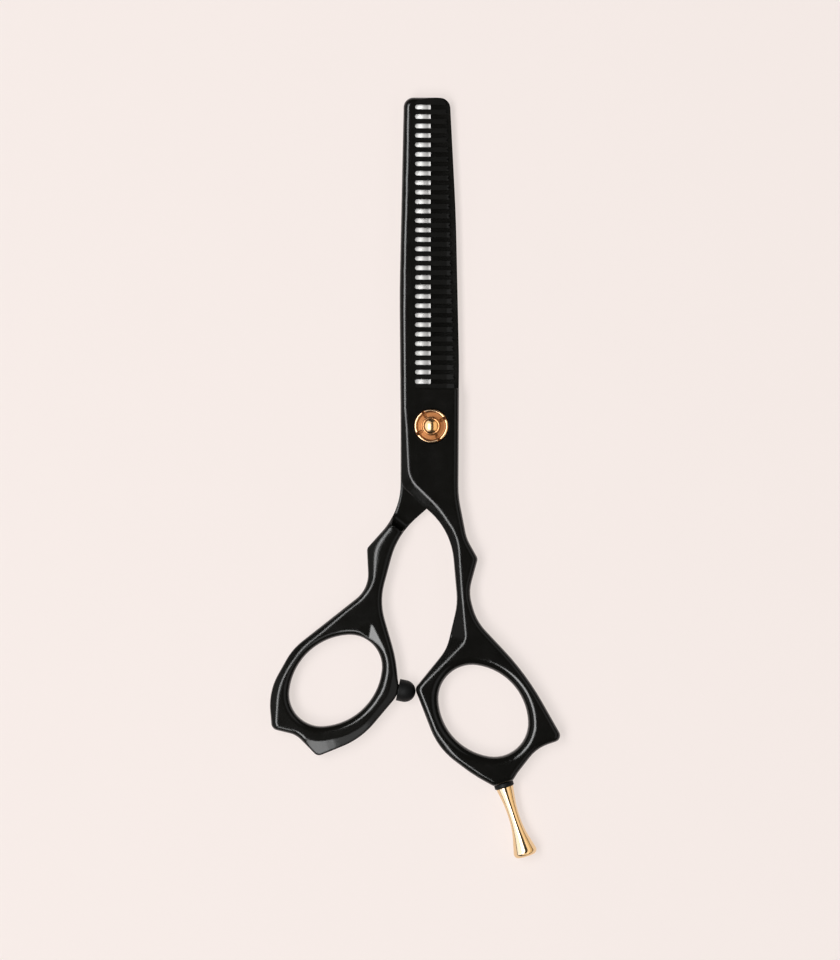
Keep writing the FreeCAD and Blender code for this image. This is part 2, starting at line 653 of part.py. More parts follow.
def build_dial(floor):
    """Tension dial: dished face inside a notched rim, round a raised hub."""
    outer = size("dial_diameter") / 2
    rim = outer - size("dial_rim_width")
    hub = size("dial_hub_diameter") / 2
    bore = size("stud_diameter") / 2 + size("running_clearance")
    height = size("dial_height")
    dish = height - size("dial_dish")
    corner = size("dial_break")
    hub_top = height - corner / 3
    body = new_body("tension_dial")
    sketch = new_sketch(body, "dial_profile", "XZ_Plane")
    profile = [(bore, 0), (outer - corner, 0), (outer, corner), (outer, height - corner),
               (outer - corner, height), (rim + corner / 2, height), (rim, height - corner / 2), (rim, dish),
               (hub, dish), (hub, hub_top - corner), (hub - corner, hub_top), (bore, hub_top)]
    add_polygon(sketch, [(radius, floor + level) for radius, level in profile])
    add_turned(body, sketch, "dial_turned", axis="V_Axis")
    half = size("dial_notch_width") / 2
    turn = Rotation(Vector(0, 0, 1), size("dial_notch_turn"))
    above = Placement(Vector(0, 0, floor + height + corner), turn)
    sketch = new_sketch(body, "dial_notch_sketch", "XY_Plane", above)
    inside = rim - corner
    outside = outer + corner
    add_polygon(sketch, [(inside, -half), (outside, -half), (outside, half), (inside, half)])
    notch = add_pocket(body, sketch, "dial_notch", "{dial_dish} + {dial_break}")
    pattern = body.newObject("PartDesign::PolarPattern", "dial_notches")
    pattern.Originals = [notch]
    pattern.Axis = (sketch, ["N_Axis"])
    pattern.Angle = 360.0
    bind(pattern, "Occurrences", "{dial_notch_count}")
    body.Tip = pattern
    doc.recompute()
    return body


def build_bumper():
    """Rubber stop with a rounded nose and a stem pressed into the thumb ring."""
    body = new_body("bumper")
    radius = size("bumper_diameter") / 2
    stem = size("bumper_stem") / 2
    length = size("bumper_length")
    foot = -size("bumper_stem_length")
    sketch = new_sketch(body, "bumper_profile")
    pole = (length, 0)
    rim = (length - radius, radius)
    add_chain(sketch, [pole, (foot, 0), (foot, stem), (0, stem), (0, radius), rim])
    add_cap(sketch, rim, pole)
    add_turned(body, sketch, "bumper_turned")
    body.Placement = seat_placement(BUMPER_SEAT)
    return body


def build_finger_rest():
    """Polished finger rest: a waisted, flaring stem with a domed end and a stud."""
    body = new_body("finger_rest")
    collar = size("collar_height")
    stud = size("rest_stud") / 2
    length = size("rest_length")
    sketch = new_sketch(body, "rest_profile")
    foot = -size("rest_stud_length")
    flare = size("rest_flare_diameter") / 2
    shoulder = size("rest_shoulder_diameter") / 2
    waist = size("rest_waist_diameter") / 2
    add_rounded_outline(sketch, [
        (foot, 0, 0), (foot, stud, 0), (collar, stud, 0), (collar, shoulder, 0),
        (size("rest_waist_start"), waist, REST_WAIST_RADII[0]),
        (size("rest_waist_end"), waist, REST_WAIST_RADII[1]),
        (length, flare, size("rest_rim_radius")), (length, 0, 0)])
    add_turned(body, sketch, "rest_turned")
    body.Placement = seat_placement(REST_SEAT)
    return body


def build_rest_washer():
    """Black collar washer between the ring boss and the finger rest."""
    body = new_body("finger_rest_washer")
    sketch = new_sketch(body, "rest_washer_profile")
    outer = size("collar_diameter") / 2
    bore = size("rest_stud") / 2
    height = size("collar_height")
    corner = size("edge_break")
    add_polygon(sketch, [(0.0, bore), (height, bore), (height, outer - corner), (height - corner, outer),
                         (0.0, outer)])
    add_turned(body, sketch, "rest_washer_turned")
    body.Placement = seat_placement(REST_SEAT)
    return body


def check_and_export(bodies):
    """Stop on any faulty object, then write one STEP file for each sub-part."""
    doc.recompute()
    for item in doc.Objects:
        if "Invalid" in item.State or "Error" in item.State:
            raise RuntimeError(f"{item.Name} is in state {item.State}")
    for body in bodies:
        shape = body.Shape
        if shape.isNull() or not shape.isValid() or len(shape.Solids) != 1:
            raise RuntimeError(f"{body.Label} has a bad shape with {len(shape.Solids)} solids")
        print(f"{body.Label}: {shape.Volume:.2f} mm3, {len(shape.Faces)} faces, box {shape.BoundBox}")
    os.makedirs("parts", exist_ok=True)
    for body in bodies:
        body.Shape.exportStep(f"parts/{body.Label}.step")


bodies = [build_comb_blade(), build_plain_blade()]
bodies += build_pivot_stack()
bodies += [build_bumper(), build_finger_rest(), build_rest_washer()]
check_and_export(bodies)
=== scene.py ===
import math

import bmesh
import bpy
from mathutils import Matrix, Vector


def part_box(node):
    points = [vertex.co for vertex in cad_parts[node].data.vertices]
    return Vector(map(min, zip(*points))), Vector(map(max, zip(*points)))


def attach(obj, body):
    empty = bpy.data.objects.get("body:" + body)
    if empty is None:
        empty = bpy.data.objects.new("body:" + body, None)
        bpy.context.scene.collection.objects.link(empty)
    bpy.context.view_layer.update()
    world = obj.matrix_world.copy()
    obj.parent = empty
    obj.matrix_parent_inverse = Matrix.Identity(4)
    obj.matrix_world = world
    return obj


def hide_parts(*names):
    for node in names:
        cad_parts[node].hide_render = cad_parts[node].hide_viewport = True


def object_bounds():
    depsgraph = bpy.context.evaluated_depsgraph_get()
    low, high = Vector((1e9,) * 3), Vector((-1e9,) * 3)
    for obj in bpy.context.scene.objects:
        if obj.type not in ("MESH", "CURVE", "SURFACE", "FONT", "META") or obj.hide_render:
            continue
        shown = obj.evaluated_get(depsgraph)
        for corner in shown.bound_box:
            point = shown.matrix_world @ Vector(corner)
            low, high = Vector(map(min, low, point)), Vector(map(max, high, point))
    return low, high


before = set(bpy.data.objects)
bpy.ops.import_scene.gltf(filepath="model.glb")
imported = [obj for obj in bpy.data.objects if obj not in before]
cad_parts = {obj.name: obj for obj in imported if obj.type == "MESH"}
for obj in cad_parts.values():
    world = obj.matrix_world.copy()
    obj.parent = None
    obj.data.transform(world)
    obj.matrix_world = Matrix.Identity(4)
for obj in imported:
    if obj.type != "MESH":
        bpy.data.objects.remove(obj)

cad_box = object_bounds()

MM = 0.001


# ---------------------------------------------------------------- measures
# Metres in the CAD's own frame: the pivot is at x = y = 0, the tips point along +y, z is up.

# Creases are drawn rounded to this radius, and to the least one on the teeth and the pivot's seat.
CREASE_RADIUS = 0.7 * MM
CREASE_LEAST = 0.06 * MM
CREASE_FADE = 0.3 * MM
CREASE_SAMPLES = 10
SEAT_LIMIT = 4.6 * MM
TEETH_START = 8.5 * MM
TEETH_LEFT = -4.2 * MM

# The thumb half's shoulder is rounder still: x below these limits, y above them, a fade between.
SHOULDER_EXTRA = 0.8 * MM
SHOULDER_X = (-9.0 * MM, -7.0 * MM)
SHOULDER_Y = (-34.0 * MM, -30.0 * MM)

# Bare ground strip on the plain blade's inner face: x below the limit, y and z above the start and level.
HONED_LIMIT = -0.15 * MM
HONED_LIMIT_FADE = 0.03 * MM
HONED_START = 8.6 * MM
HONED_START_FADE = 0.05 * MM
HONED_LEVEL = 2.66 * MM
HONED_LEVEL_FADE = 0.02 * MM
HONED_LIFT = 0.008 * MM
# Only faces of the strip this close to level are kept, and its painted highlight and shade run between
# these x.
HONED_FLATNESS = 0.95
HONED_PAINTED_LIGHT_SPAN = (-3.8 * MM, 0.0)

# Tension dial, at the CAD dial's own height and radius; its tones, painted corner shade among them, run
# between two radii.
DIAL_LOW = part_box("tension_dial")[0][2]
DIAL_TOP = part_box("tension_dial")[1][2]
DIAL_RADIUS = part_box("tension_dial")[1][0]
DIAL_BORE = 1.45 * MM
DIAL_STEPS = 432
DIAL_TONES = (1.4 * MM, 3.8 * MM)
FOOT_ROUND = 0.12 * MM
FOOT_MIDDLE = 0.04 * MM
WALL_SHARES = (0.0, 0.5, 0.9)
NOTCH_TURN = math.radians(30.0)
NOTCH_WIDTH = 0.66 * MM
NOTCH_INNER = 2.6 * MM
NOTCH_DEPTH = 0.62 * MM
NOTCH_SOFTNESS = 0.06 * MM
# Below this height the notch floors are coloured darker: painted shade.
NOTCH_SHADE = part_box("tension_dial")[1][2] - 0.48 * MM
NOTCH_SHADE_FADE = 0.05 * MM
# Section of the dial's face from the rim inwards: radius and depth below the top, in millimetres.
DIAL_FACE = [
    (3.75, 0.30), (3.74, 0.20), (3.70, 0.11), (3.63, 0.04), (3.54, 0.005), (3.44, 0.0),
    (3.35, 0.02), (3.28, 0.07), (3.23, 0.15), (3.20, 0.25), (3.17, 0.32), (3.11, 0.36),
    (3.02, 0.375), (2.85, 0.37), (2.65, 0.36), (2.45, 0.35), (2.25, 0.345), (2.12, 0.34),
    (2.05, 0.31), (2.00, 0.25), (1.97, 0.16), (1.92, 0.10), (1.85, 0.06), (1.76, 0.05),
    (1.67, 0.06), (1.58, 0.10), (1.51, 0.17), (1.46, 0.26), (1.45, 0.40),
]

# Finger rest: where its axis starts, which way it points, and how finely it is turned.
REST_SEAT = (16.1 * MM, -79.6 * MM, 2.8 * MM)
REST_TURN = math.radians(-72.41)
REST_SIDES = 120
REST_ARC_STEPS = 20
AXIS_LIMIT = 1e-6
# Outline of the rest: distance along its axis, radius, corner radius, all in millimetres.
REST_OUTLINE = [
    (0.9, 0.0, 0.0), (0.9, 1.95, 0.12), (5.5, 1.23, 25.0), (10.3, 1.23, 20.0), (17.0, 2.95, 1.1),
    (17.0, 0.0, 0.0),
]

FLOOR_Z = cad_box[0][2] - 0.2 * MM
FLOOR_SIZE = 8.0
FLOOR_GLOW = (0.683, 0.621, 0.592)
WALL_RADIUS = 3.9
WALL_HEIGHT = 6.0
WALL_SIDES = 96
WORLD_COLOUR = (1.0, 0.97, 0.94)
WORLD_STRENGTH = 0.05

VIEW_CENTRE = Vector((-2.5 * MM, -12.0 * MM, 0.0))
VIEW_HEIGHT = 213.7 * MM
SUBJECT_HEIGHT = 4.0 * MM
CAMERA_DISTANCE = 1.6
CAMERA_REACH = 20.0
SENSOR_HEIGHT = 24.0


# ---------------------------------------------------------------- shader helpers

# Most of a noise's values lie in this span.
NOISE_SPAN = (0.3, 0.7)


class Shader:
    """Short names for building one node material."""

    def __init__(self, name):
        self.material = bpy.data.materials.new(name)
        self.material.use_nodes = True
        self.tree = self.material.node_tree
        self.tree.nodes.clear()
        self.surface = self.node("ShaderNodeBsdfPrincipled")
        output = self.node("ShaderNodeOutputMaterial")
        self.link(self.surface.outputs["BSDF"], output.inputs["Surface"])

    def node(self, kind, **settings):
        made = self.tree.nodes.new(kind)
        for name, value in settings.items():
            setattr(made, name, value)
        return made

    def link(self, source, target):
        self.tree.links.new(source, target)

    def set(self, **values):
        """Constants on the shader's own sockets; underscores stand for spaces."""
        for name, value in values.items():
            self.surface.inputs[name.replace("_", " ")].default_value = value

    def feed(self, name, source):
        """Links a socket to one of the shader's own sockets."""
        self.link(source, self.surface.inputs[name])

    def source(self, name):
        """The socket that feeds one of the shader's own sockets so far."""
        return self.surface.inputs[name].links[0].from_socket

    def place(self):
        """Position in the object's own frame."""
        return self.node("ShaderNodeTexCoord").outputs["Object"]

    def noise(self, scale, detail=4.0, roughness=0.55, stretch=None):
        """Noise in the object's own frame; stretch scales its three axes."""
        vector = self.place()
        if stretch is not None:
            mapping = self.node("ShaderNodeMapping")
            mapping.inputs["Scale"].default_value = stretch
            self.link(vector, mapping.inputs["Vector"])
            vector = mapping.outputs["Vector"]
        noise = self.node("ShaderNodeTexNoise")
        noise.inputs["Scale"].default_value = scale
        noise.inputs["Detail"].default_value = detail
        noise.inputs["Roughness"].default_value = roughness
        self.link(vector, noise.inputs["Vector"])
        return noise.outputs["Fac"]

    def remap(self, value, low, high, to_low, to_high):
        """Linear remap, clamped at both ends."""
        node = self.node("ShaderNodeMapRange")
        node.inputs["From Min"].default_value = low
        node.inputs["From Max"].default_value = high
        node.inputs["To Min"].default_value = to_low
        node.inputs["To Max"].default_value = to_high
        self.link(value, node.inputs["Value"])
        return node.outputs["Result"]

    def mix(self, factor, first, second):
        """Colour mix; first and second are colours or sockets."""
        node = self.node("ShaderNodeMix", data_type="RGBA")
        self.link(factor, node.inputs["Factor"])
        for socket, value in ((node.inputs["A"], first), (node.inputs["B"], second)):
            if isinstance(value, tuple):
                socket.default_value = (*value, 1.0)
            else:
                self.link(value, socket)
        return node.outputs["Result"]

    def ramp(self, value, stops):
        """Colour ramp; stops are (position, colour) with positions from 0 to 1."""
        node = self.node("ShaderNodeValToRGB")
        elements = node.color_ramp.elements
        while len(elements) < len(stops):
            elements.new(0.5)
        for element, (position, colour) in zip(elements, stops):
            element.position = position
            element.color = (*colour, 1.0)
        self.link(value, node.inputs["Fac"])
        return node.outputs["Color"]

    def combine(self, operation, first, second):
        """One Math node; first and second are sockets or numbers."""
        node = self.node("ShaderNodeMath", operation=operation)
        for socket, value in zip(node.inputs, (first, second)):
            if isinstance(value, (int, float)):
                socket.default_value = value
            else:
                self.link(value, socket)
        return node.outputs[0]

    def scale_add(self, first, second, added):
        """first times second, plus a number."""
        total = self.combine("MULTIPLY_ADD", first, second)
        total.node.inputs[2].default_value = added
        return total

    def bump(self, height, strength, distance, normal=None):
        """Bump on the surface, over another normal where one is given."""
        node = self.node("ShaderNodeBump")
        node.inputs["Strength"].default_value = strength
        node.inputs["Distance"].default_value = distance
        self.link(height, node.inputs["Height"])
        if normal is not None:
            self.link(normal, node.inputs["Normal"])
        self.feed("Normal", node.outputs["Normal"])


def position_parts(shader):
    """The three coordinates of a point, in metres in the object's own frame."""
    split = shader.node("ShaderNodeSeparateXYZ")
    shader.link(shader.place(), split.inputs["Vector"])
    return split.outputs["X"], split.outputs["Y"], split.outputs["Z"]


def radius_from_pivot(shader):
    """Distance of a point from the pivot's axis."""
    x, y = position_parts(shader)[:2]
    flat = shader.node("ShaderNodeCombineXYZ")
    shader.link(x, flat.inputs["X"])
    shader.link(y, flat.inputs["Y"])
    length = shader.node("ShaderNodeVectorMath", operation="LENGTH")
    shader.link(flat.outputs["Vector"], length.inputs[0])
    return length.outputs["Value"]


def soft_edge(shader):
    """Rounds the shading of creases: widely on the handles, barely on the teeth and the pivot's seat."""
    x, y = position_parts(shader)[:2]
    off_pivot = shader.remap(radius_from_pivot(shader), SEAT_LIMIT, SEAT_LIMIT + CREASE_FADE, 0.0, 1.0)
    below_teeth = shader.remap(y, TEETH_START - CREASE_FADE, TEETH_START, 1.0, 0.0)
    beside_teeth = shader.remap(x, TEETH_LEFT - CREASE_FADE, TEETH_LEFT, 1.0, 0.0)
    off_teeth = shader.combine("MAXIMUM", below_teeth, beside_teeth)
    wide = shader.combine("MULTIPLY", off_pivot, off_teeth)
    shoulder_left = shader.remap(x, *SHOULDER_X, 1.0, 0.0)
    shoulder_low = shader.remap(y, *SHOULDER_Y, 0.0, 1.0)
    shoulder = shader.combine("MULTIPLY", shoulder_left, shoulder_low)
    broad = shader.scale_add(shoulder, SHOULDER_EXTRA, CREASE_RADIUS)
    size = shader.scale_add(wide, broad, CREASE_LEAST)
    rounded = shader.node("ShaderNodeBevel", samples=CREASE_SAMPLES)
    shader.link(size, rounded.inputs["Radius"])
    return rounded.outputs["Normal"]


# ---------------------------------------------------------------- materials


def coated_steel(name):
    """Gloss black coating on polished steel: near-black, a little warm, with faint polishing marks."""
    shader = Shader(name)
    cloud = shader.remap(shader.noise(90.0, 5.0), 0.35, 0.65, 0.0, 1.0)
    shader.feed("Base Color", shader.mix(cloud, (0.0036, 0.0034, 0.0026), (0.0054, 0.0050, 0.0040)))
    shader.feed("Roughness", shader.remap(shader.noise(260.0, 3.0), *NOISE_SPAN, 0.11, 0.16))
    shader.set(Metallic=0.0, IOR=1.5)
    shader.bump(shader.noise(1400.0, 3.0), 0.02, 0.02 * MM, soft_edge(shader))
    return shader


def honed_blade():
    """The black coating, ground away to bare steel on the inner face beside the cutting edge."""
    shader = coated_steel("black_coating_honed")
    x, y, z = position_parts(shader)

    def beyond(value, limit, fade):
        return shader.remap(value, limit - fade, limit + fade, 0.0, 1.0)

    bare = shader.combine("MULTIPLY", beyond(z, HONED_LEVEL, HONED_LEVEL_FADE),
                          beyond(y, HONED_START, HONED_START_FADE))
    beside_edge = shader.remap(x, HONED_LIMIT - HONED_LIMIT_FADE, HONED_LIMIT + HONED_LIMIT_FADE, 1.0, 0.0)
    bare = shader.combine("MULTIPLY", bare, beside_edge)
    shader.feed("Base Color", shader.mix(bare, shader.source("Base Color"), (0.72, 0.71, 0.69)))
    shader.feed("Metallic", bare)
    blend = shader.node("ShaderNodeMix", data_type="FLOAT")
    shader.link(bare, blend.inputs["Factor"])
    shader.link(shader.source("Roughness"), blend.inputs["A"])
    blend.inputs["B"].default_value = 0.5
    shader.feed("Roughness", blend.outputs["Result"])
    return shader.material


def honed_steel():
    """Bare steel with fine grinding marks across it; a painted highlight makes it brightest beside the
    edge and at its inner border, with painted shade between.
    """
    shader = Shader("honed_steel")
    across = shader.remap(position_parts(shader)[0], *HONED_PAINTED_LIGHT_SPAN, 0.0, 1.0)
    # Painted light: the steel's colour is lighter at both ends of this span and darker between, standing
    # in for highlight and shade.
    tones = shader.ramp(across, [
        (0.0, (0.95, 0.94, 0.92)), (0.38, (0.93, 0.92, 0.90)), (0.58, (0.42, 0.41, 0.40)),
        (0.78, (0.27, 0.265, 0.26)), (0.90, (0.52, 0.51, 0.50)), (0.97, (0.86, 0.85, 0.83))])
    marks = shader.remap(shader.noise(180.0, 4.0, stretch=(1.0, 16.0, 1.0)), 0.25, 0.75, 0.0, 0.32)
    shader.feed("Base Color", shader.mix(marks, tones, (0.40, 0.39, 0.38)))
    shader.feed("Roughness", shader.remap(shader.noise(300.0, 3.0), *NOISE_SPAN, 0.24, 0.34))
    shader.set(Metallic=1.0)
    shader.bump(shader.noise(260.0, 2.0, stretch=(1.0, 20.0, 1.0)), 0.05, 0.01 * MM)
    return shader.material


def rose_gold():
    """Copper-gold plating: satin in the recessed ring, polished on rim and hub, with painted shade in the
    corners and on the notch floors.
    """
    shader = Shader("rose_gold")
    radius = shader.remap(radius_from_pivot(shader), *DIAL_TONES, 0.0, 1.0)
    bright = (0.90, 0.56, 0.29)
    satin = (0.31, 0.125, 0.044)
    painted_corner_shade = (0.10, 0.034, 0.010)
    hub = (0.52, 0.25, 0.10)
    painted_notch_shade = (0.17, 0.062, 0.02)
    tarnish = (0.24, 0.088, 0.028)
    # Painted shade: dark bands at the bore's edge, in the groove inside the rim and at the outer edge
    # stand in for shade in these corners.
    rings = shader.ramp(radius, [
        (0.0, painted_corner_shade), (0.08, hub), (0.20, hub), (0.26, satin), (0.66, satin), (0.72, painted_corner_shade),
        (0.76, bright), (0.96, bright), (1.0, painted_corner_shade)])
    patina = shader.remap(shader.noise(900.0, 5.0), 0.35, 0.7, 0.0, 0.35)
    # Painted shade: the notch floors, below NOTCH_SHADE, take a darker colour.
    notch_shade_mask = shader.remap(position_parts(shader)[2], NOTCH_SHADE - NOTCH_SHADE_FADE,
                        NOTCH_SHADE + NOTCH_SHADE_FADE, 1.0, 0.0)
    rings = shader.mix(notch_shade_mask, rings, painted_notch_shade)
    shader.feed("Base Color", shader.mix(patina, rings, tarnish))
    gloss = [(0.0, 0.2), (0.22, 0.2), (0.28, 0.42), (0.66, 0.42), (0.74, 0.18), (1.0, 0.2)]
    shader.feed("Roughness", shader.ramp(radius, [(position, (level,) * 3) for position, level in gloss]))
    shader.set(Metallic=1.0)
    shader.bump(shader.noise(2500.0, 3.0), 0.05, 0.01 * MM)
    return shader.material


def pin_gold():
    """Rose-gold pin with the faint rings of a turned face."""
    shader = Shader("pin_gold")
    shader.feed("Base Color", shader.mix(shader.noise(600.0), (0.84, 0.50, 0.22), (0.90, 0.56, 0.26)))
    rings = shader.node("ShaderNodeTexNoise", noise_dimensions="1D")
    rings.inputs["Scale"].default_value = 9000.0
    rings.inputs["Detail"].default_value = 2.0
    shader.link(radius_from_pivot(shader), rings.inputs["W"])
    shader.feed("Roughness", shader.remap(rings.outputs["Fac"], *NOISE_SPAN, 0.13, 0.24))
    shader.set(Metallic=1.0)
    shader.bump(rings.outputs["Fac"], 0.06, 0.01 * MM)
    return shader.material


def speckled(name, tones, gloss, tone_scale=600.0, gloss_scale=900.0, **constants):
    """Two close tones and two roughnesses, each mixed by its own fine noise."""
    shader = Shader(name)
    shader.feed("Base Color", shader.mix(shader.noise(tone_scale), *tones))
    shader.feed("Roughness", shader.remap(shader.noise(gloss_scale), *NOISE_SPAN, *gloss))
    shader.set(**constants)
    return shader


def pale_gold():
    """Polished pale gold of the finger rest."""
    tones = (0.86, 0.62, 0.35), (0.90, 0.66, 0.39)
    return speckled("pale_gold", tones, (0.08, 0.13), 300.0, 800.0, Metallic=1.0).material


def rubber():
    """Matt black rubber with a fine grain."""
    tones = (0.004, 0.004, 0.004), (0.007, 0.007, 0.007)
    shader = speckled("black_rubber", tones, (0.5, 0.65), 700.0, IOR=1.33)
    shader.bump(shader.noise(2500.0), 0.2, 0.04 * MM)
    return shader.material


def plain_metal(name, tones, gloss):
    """Bare metal of a small piece inside the pivot."""
    return speckled(name, tones, gloss, Metallic=1.0).material


def plain_plastic(name, tones):
    """Plastic of a washer inside the pivot."""
    return speckled(name, tones, (0.4, 0.5)).material


MATERIALS = {
    "comb_blade": coated_steel("black_coating").material,
    "plain_blade": honed_blade(),
    "pivot_pin": pin_gold(),
    "tension_dial": rose_gold(),
    "spring_washer": plain_metal("spring_steel", ((0.5, 0.5, 0.5), (0.6, 0.6, 0.6)), (0.25, 0.35)),
    "thrust_washer": plain_plastic("nylon", ((0.75, 0.74, 0.70), (0.82, 0.81, 0.77))),
    "bearing_bush": plain_metal("bush_bronze", ((0.42, 0.26, 0.13), (0.50, 0.32, 0.17)), (0.3, 0.4)),
    "blade_washer": plain_plastic("washer_polymer", ((0.02, 0.02, 0.02), (0.03, 0.03, 0.03))),
    "bumper": rubber(),
    "finger_rest": pale_gold(),
    "finger_rest_washer": rubber(),
}
for name, material in MATERIALS.items():
    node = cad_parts[name]
    node.data.materials.clear()
    node.data.materials.append(material)


def smooth_piece(name, mesh, material):
    """Turns a finished bmesh into a smooth-shaded piece of the scene."""
    data = bpy.data.meshes.new(name)
    mesh.to_mesh(data)
    mesh.free()
    data.materials.append(material)
    data.shade_smooth()
    piece = bpy.data.objects.new(name, data)
    bpy.context.scene.collection.objects.link(piece)
    return piece


# ---------------------------------------------------------------- tension dial


def smooth_step(value, low, high):
    """0 below low, 1 above high, and a smooth rise between."""
    share = min(max((value - low) / (high - low), 0.0), 1.0)
    return share * share * (3.0 - 2.0 * share)


def notch_share(radius, angle):
    """1 inside one of the four notches, 0 outside, with softened walls."""
    quarter = math.pi / 2
    turn = (angle - NOTCH_TURN + quarter / 2) % quarter - quarter / 2
    along = radius * math.cos(turn)
    across = radius * math.sin(turn)
    outside = abs(across) if along > NOTCH_INNER else math.hypot(along - NOTCH_INNER, across)
    return 1.0 - smooth_step(outside - NOTCH_WIDTH / 2, -NOTCH_SOFTNESS, NOTCH_SOFTNESS)


def loft_rows(rows):
    """Closed skin from rows of points of equal count; each row is a ring, and the last joins the first."""
    mesh = bmesh.new()
    made = [[mesh.verts.new(point) for point in row] for row in rows]
    count = len(rows[0])
    for row, following in zip(made, made[1:] + made[:1]):
        for index in range(count):
            after = (index + 1) % count
            mesh.faces.new((row[index], row[after], following[after], following[index]))
    bmesh.ops.recalc_face_normals(mesh, faces=mesh.faces)
    return mesh


def make_dial():
    """Tension dial with a rolled rim, a recessed ring, a rolled hub and four notches for the thumbnail."""
    angles = [2 * math.pi * step / DIAL_STEPS for step in range(DIAL_STEPS)]
    floor = DIAL_TOP - NOTCH_DEPTH
    rows = []

    def add_row(radius, height):
        rows.append([(radius * math.cos(angle), radius * math.sin(angle), height(angle))
                     for angle in angles])

    def face_height(radius, under):
        def height(angle):
            share = notch_share(radius, angle)
            return (DIAL_TOP - under) * (1 - share) + floor * share
        return height

    rim_radius, rim_under = (value * MM for value in DIAL_FACE[0])
    rim_height = face_height(rim_radius, rim_under)
    add_row(DIAL_BORE, lambda angle: DIAL_LOW)
    add_row(DIAL_RADIUS - FOOT_ROUND, lambda angle: DIAL_LOW)
    add_row(DIAL_RADIUS - FOOT_MIDDLE, lambda angle: DIAL_LOW + FOOT_MIDDLE)
    wall_low = DIAL_LOW + FOOT_ROUND
    for share in WALL_SHARES:
        add_row(DIAL_RADIUS, lambda angle, share=share: wall_low + (rim_height(angle) - wall_low) * share)
    for radius, under in DIAL_FACE:
        add_row(radius * MM, face_height(radius * MM, under * MM))
    piece = smooth_piece("dial_face", loft_rows(rows), MATERIALS["tension_dial"])
    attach(piece, "dial")
    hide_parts("tension_dial")
    return piece


dial = make_dial()


# ---------------------------------------------------------------- honed strip


def keep_behind(mesh, place, normal):
    """Cuts the mesh with a plane and drops what lies on the normal's side."""
    whole = mesh.verts[:] + mesh.edges[:] + mesh.faces[:]
    bmesh.ops.bisect_plane(mesh, geom=whole, plane_co=place, plane_no=normal, clear_outer=True)


def make_honed_strip():
    """Bright ground strip on the inner face of the plain blade, a skin just above the steel."""
    mesh = bmesh.new()
    mesh.from_mesh(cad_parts["plain_blade"].data)
    keep_behind(mesh, (HONED_LIMIT, 0.0, 0.0), (1.0, 0.0, 0.0))
    keep_behind(mesh, (0.0, HONED_START, 0.0), (0.0, -1.0, 0.0))
    mesh.normal_update()
    other = [face for face in mesh.faces
             if face.normal.z < HONED_FLATNESS or min(vertex.co.z for vertex in face.verts) < HONED_LEVEL]
    bmesh.ops.delete(mesh, geom=other, context="FACES")
    for vertex in mesh.verts:
        vertex.co.z += HONED_LIFT
    piece = smooth_piece("honed_strip", mesh, honed_steel())
    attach(piece, "thumb_half")
    return piece


honed_strip = make_honed_strip()


# ---------------------------------------------------------------- finger rest


def rounded_outline(corners, steps):
    """Points of an outline whose corners are replaced by arcs."""
    points = []
    for index, (along, radius, corner) in enumerate(corners):
        place = Vector((along, radius))
        if corner == 0.0:
            points.append(place)
            continue
        back = (Vector(corners[index - 1][:2]) - place).normalized()
        ahead = (Vector(corners[index + 1][:2]) - place).normalized()
        half = back.angle(ahead) / 2
        reach = corner / math.tan(half)
        centre = place + (back + ahead).normalized() * (corner / math.sin(half))
        start = place + back * reach - centre
        turn = start.angle_signed(place + ahead * reach - centre)
        for step in range(steps + 1):
            share = step / steps * turn
            points.append(centre + Vector((start.x * math.cos(share) + start.y * math.sin(share),
                                           start.y * math.cos(share) - start.x * math.sin(share))))
    return points


def make_finger_rest():
    """Waisted, flaring finger rest turned smoothly about its own axis."""
    mesh = bmesh.new()
    rings = []
    angles = [2 * math.pi * side / REST_SIDES for side in range(REST_SIDES)]
    for point in rounded_outline(REST_OUTLINE, REST_ARC_STEPS):
        if point.y < AXIS_LIMIT:
            # A point on the axis: the ring shrinks to one vertex.
            rings.append([mesh.verts.new((point.x * MM, 0.0, 0.0))] * REST_SIDES)
            continue
        rings.append([mesh.verts.new((point.x * MM, point.y * MM * math.cos(angle),
                                      point.y * MM * math.sin(angle)))
                      for angle in angles])
    for ring, following in zip(rings, rings[1:]):
        for side in range(REST_SIDES):
            after = (side + 1) % REST_SIDES
            corners = [ring[side], ring[after], following[after], following[side]]
            mesh.faces.new(list(dict.fromkeys(corners)))
    bmesh.ops.recalc_face_normals(mesh, faces=mesh.faces)
    mesh.transform(Matrix.Translation(REST_SEAT) @ Matrix.Rotation(REST_TURN, 4, "Z"))
    piece = smooth_piece("finger_rest_turned", mesh, MATERIALS["finger_rest"])
    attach(piece, "finger_half")
    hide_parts("finger_rest")
    return piece


finger_rest = make_finger_rest()


# ---------------------------------------------------------------- studio

CENTRE = (0.0, 0.0, 0.0)
WHITE = (1.0, 1.0, 1.0)
# Groups of pieces that have lamps of their own.
LIT_GROUPS = {
    "plain_half": [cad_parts["plain_blade"]],
    "gilded_pieces": [dial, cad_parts["pivot_pin"], finger_rest],
    "turned_rest": [finger_rest],
    "bare_steel": [honed_strip],
}
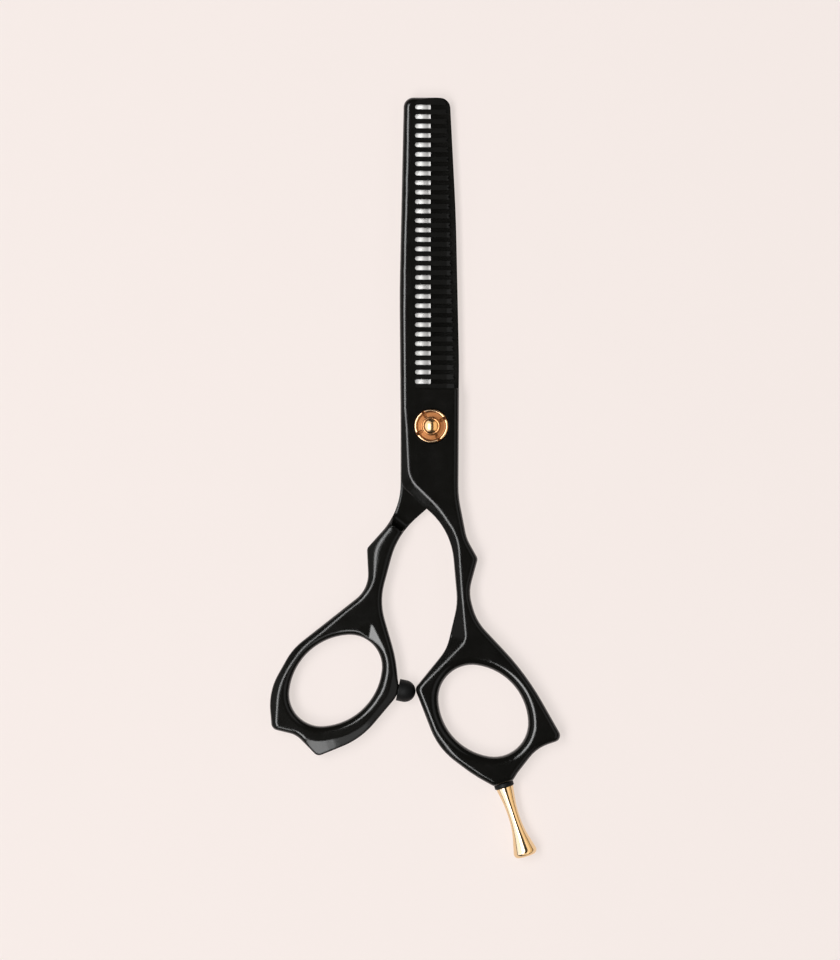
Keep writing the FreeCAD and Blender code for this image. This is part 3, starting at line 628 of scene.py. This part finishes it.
# Softboxes: name, place, target, width and height, radiance, colour, the only group lit or None.
LAMPS = [
    ("strip_left", (-0.50, -0.15, 1.3), (0.0, -0.15, 0.0), (0.45, 1.3), 8.8, WHITE, None),
    ("fill_left", (-1.05, -0.1, 0.75), CENTRE, (0.6, 2.2), 0.2, WHITE, None),
    ("fill_right", (0.85, 0.0, 1.05), CENTRE, (0.75, 2.0), 0.35, WHITE, None),
    ("strip_low", (-0.10, -1.0, 1.05), CENTRE, (0.5, 0.42), 5.0, WHITE, "plain_half"),
    ("strip_low_right", (0.42, -0.95, 1.05), CENTRE, (0.5, 0.42), 1.0, WHITE, "plain_half"),
    ("gold_left", (-0.72, 0.0, 0.78), CENTRE, (1.75, 2.4), 1.15, (0.95, 1.07, 1.35), "gilded_pieces"),
    ("gold_right", (0.96, 0.0, 0.76), CENTRE, (1.30, 2.4), 0.72, (1.0, 0.80, 0.52), "gilded_pieces"),
    ("gold_low", (0.25, -1.05, 0.75), CENTRE, (1.3, 1.0), 0.8, (1.0, 0.88, 0.72), "turned_rest"),
    ("honed_glow", (0.0, 0.0, 1.45), CENTRE, (0.8, 0.8), 1.15, WHITE, "bare_steel"),
]


def add_floor():
    """Pale paper that glows a little, so that it stays even and the shadows stay faint."""
    bpy.ops.mesh.primitive_plane_add(size=FLOOR_SIZE, location=(0.0, 0.0, FLOOR_Z))
    floor = bpy.context.object
    floor.name = "studio_floor"
    shader = Shader("studio_paper")
    fibres = shader.noise(40.0)
    shader.feed("Base Color", shader.mix(fibres, (0.295, 0.265, 0.256), (0.305, 0.274, 0.265)))
    shader.set(Roughness=0.9, Specular_IOR_Level=0.0, Emission_Color=(*FLOOR_GLOW, 1.0),
               Emission_Strength=1.0)
    floor.data.materials.append(shader.material)


def add_backdrop():
    """Pale paper wall all round, far off, which only closes the view above the floor's far edge."""
    bpy.ops.mesh.primitive_cylinder_add(
        vertices=WALL_SIDES, radius=WALL_RADIUS, depth=WALL_HEIGHT, end_fill_type="NOTHING",
        location=(0.0, 0.0, FLOOR_Z + WALL_HEIGHT / 2))
    wall = bpy.context.object
    wall.name = "studio_wall"
    wall.data.shade_smooth()
    wall.data.materials.append(bpy.data.materials["studio_paper"])
    wall.visible_glossy = False
    wall.visible_diffuse = False
    wall.visible_shadow = False


def add_area(name, place, target, size, radiance, colour):
    """Softbox of a given radiance that the camera doesn't see."""
    width, height = size
    lamp = bpy.data.lights.new(name, "AREA")
    lamp.shape = "RECTANGLE"
    lamp.size = width
    lamp.size_y = height
    lamp.energy = radiance * math.pi * width * height
    lamp.color = colour
    holder = bpy.data.objects.new(name, lamp)
    bpy.context.scene.collection.objects.link(holder)
    holder.location = place
    forward = (Vector(place) - Vector(target)).normalized()
    side = Vector((0.0, 1.0, 0.0)).cross(forward).normalized()
    up = forward.cross(side)
    holder.rotation_euler = Matrix((side, up, forward)).transposed().to_euler()
    holder.visible_camera = False
    return holder


def add_lights():
    """Soft studio light; some lamps reach only the pieces of one group."""
    world = bpy.data.worlds.new("studio_world")
    bpy.context.scene.world = world
    world.use_nodes = True
    background = world.node_tree.nodes["Background"]
    background.inputs["Color"].default_value = (*WORLD_COLOUR, 1.0)
    background.inputs["Strength"].default_value = WORLD_STRENGTH
    groups = {}
    for name, pieces in LIT_GROUPS.items():
        groups[name] = bpy.data.collections.new(name)
        for piece in pieces:
            groups[name].objects.link(piece)
    for *settings, group in LAMPS:
        holder = add_area(*settings)
        if group is not None:
            holder.light_linking.receiver_collection = groups[group]


def add_camera():
    """Camera straight above the shears, as in the photograph."""
    data = bpy.data.cameras.new("photo_camera")
    camera = bpy.data.objects.new("photo_camera", data)
    bpy.context.scene.collection.objects.link(camera)
    camera.location = (VIEW_CENTRE.x, VIEW_CENTRE.y, CAMERA_DISTANCE)
    camera.rotation_euler = (0.0, 0.0, 0.0)
    data.sensor_fit = "VERTICAL"
    data.sensor_height = SENSOR_HEIGHT
    data.lens = SENSOR_HEIGHT * (CAMERA_DISTANCE - SUBJECT_HEIGHT) / VIEW_HEIGHT
    data.clip_end = CAMERA_REACH
    bpy.context.scene.camera = camera


add_floor()
add_backdrop()
add_lights()
add_camera()
bpy.context.scene.view_settings.view_transform = "Standard"
